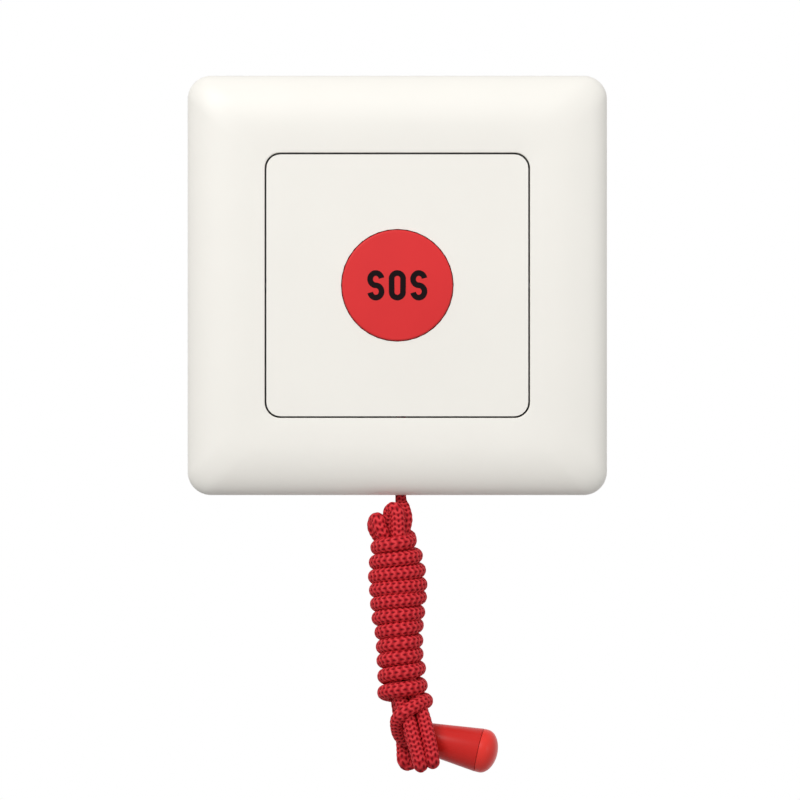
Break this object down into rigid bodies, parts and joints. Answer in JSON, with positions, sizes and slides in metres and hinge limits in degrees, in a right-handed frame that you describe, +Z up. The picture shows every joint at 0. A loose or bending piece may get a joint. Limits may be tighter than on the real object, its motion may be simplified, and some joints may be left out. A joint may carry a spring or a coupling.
{
  "type": "emergency call button with pull cord",
  "caption": "Square wall plate with a round red push button in its centre panel and a red pull cord, wound in a hank, that ends in a conical knob; both work a lever switch behind the plate.",
  "frame": {"origin": "centre of the square plate on the wall's face", "axes": "+X to the right as seen from the room, +Y into the wall, +Z up; the plate faces -Y"},
  "size_m": [0.086, 0.0404, 0.1429],
  "materials": {
    "ivory_plastic": "smooth ivory moulded plastic, satin gloss",
    "red_button": "smooth red moulded plastic, satin",
    "red_knob": "glossy red moulded plastic",
    "red_cord": "braided red polypropylene cord",
    "grey_nylon": "light grey moulded nylon, matt",
    "black_plastic": "black moulded plastic",
    "board_green": "green solder mask on glass epoxy",
    "terminal_green": "green moulded terminal block",
    "zinc_steel": "zinc plated steel",
    "spring_steel": "bright spring steel",
    "brass": "plated brass cage",
    "red_plunger": "red moulded plunger"
  },
  "bodies": {
    "wall_unit": {"front_frame": "ivory_plastic", "centre_panel": "ivory_plastic", "mounting_yoke": "grey_nylon", "rear_housing": "grey_nylon", "circuit_board": "board_green", "fixing_screw_left": "zinc_steel", "fixing_screw_right": "zinc_steel", "housing_screw_1": "zinc_steel", "housing_screw_2": "zinc_steel", "housing_screw_3": "zinc_steel", "housing_screw_4": "zinc_steel", "button_spring": "spring_steel", "button_switch_body": "black_plastic", "crank_pin": "zinc_steel", "crank_spring": "spring_steel", "cord_switch_body": "black_plastic", "cord_bush": "grey_nylon", "terminal_block": "terminal_green", "terminal_cage_1": "brass", "terminal_cage_2": "brass", "terminal_cage_3": "brass", "terminal_screw_1": "zinc_steel", "terminal_screw_2": "zinc_steel", "terminal_screw_3": "zinc_steel"},
    "button": {"push_button": "red_button"},
    "button_leaf": {"button_switch_leaf": "spring_steel"},
    "button_plunger": {"button_switch_plunger": "red_plunger"},
    "cord": {"pull_cord": "red_cord", "cord_top_knot": "red_cord", "cord_hank": "red_cord", "cord_tail": "red_cord", "pull_knob": "red_knob", "knob_cap": "red_knob", "knob_knot": "red_cord"},
    "crank": {"bell_crank": "black_plastic"},
    "cord_leaf": {"cord_switch_leaf": "spring_steel"},
    "cord_plunger": {"cord_switch_plunger": "red_plunger"}
  },
  "joints": [
    {"name": "button_press", "type": "slide", "parent": "wall_unit", "child": "button", "axis": [0, 1, 0], "range_m": [0, 0.0025], "stiffness_N_per_m": 600, "springref_m": -0.002, "deforming": ["button_spring"]},
    {"name": "button_leaf_turn", "type": "hinge", "parent": "wall_unit", "child": "button_leaf", "pos_m": [-0.009, 0.00565, 0], "axis": [0, 0, 1], "range_deg": [0, 16.2]},
    {"name": "button_plunger_slide", "type": "slide", "parent": "wall_unit", "child": "button_plunger", "axis": [0, 1, 0], "range_m": [0, 0.0012]},
    {"name": "cord_pull", "type": "slide", "parent": "wall_unit", "child": "cord", "axis": [0, 0, -1], "range_m": [0, 0.00252], "stiffness_N_per_m": 1500, "springref_m": -0.001, "deforming": ["crank_spring"]},
    {"name": "crank_turn", "type": "hinge", "parent": "wall_unit", "child": "crank", "pos_m": [0.0007, 0.003, -0.02], "axis": [1, 0, 0], "range_deg": [0, 20]},
    {"name": "cord_leaf_turn", "type": "hinge", "parent": "wall_unit", "child": "cord_leaf", "pos_m": [-0.0083, 0.00565, -0.0252], "axis": [0, 0, 1], "range_deg": [0, 13.5]},
    {"name": "cord_plunger_slide", "type": "slide", "parent": "wall_unit", "child": "cord_plunger", "axis": [0, 1, 0], "range_m": [0, 0.001]}
  ],
  "couplings": [
    {"joint": "button_leaf_turn", "follows": "button_press", "rad_per_m": 112.59},
    {"joint": "button_plunger_slide", "follows": "button_press", "ratio": 0.4444},
    {"joint": "crank_turn", "follows": "cord_pull", "rad_per_m": 138.52},
    {"joint": "cord_leaf_turn", "follows": "cord_pull", "rad_per_m": 92.717},
    {"joint": "cord_plunger_slide", "follows": "cord_pull", "ratio": 0.3675}
  ]
}
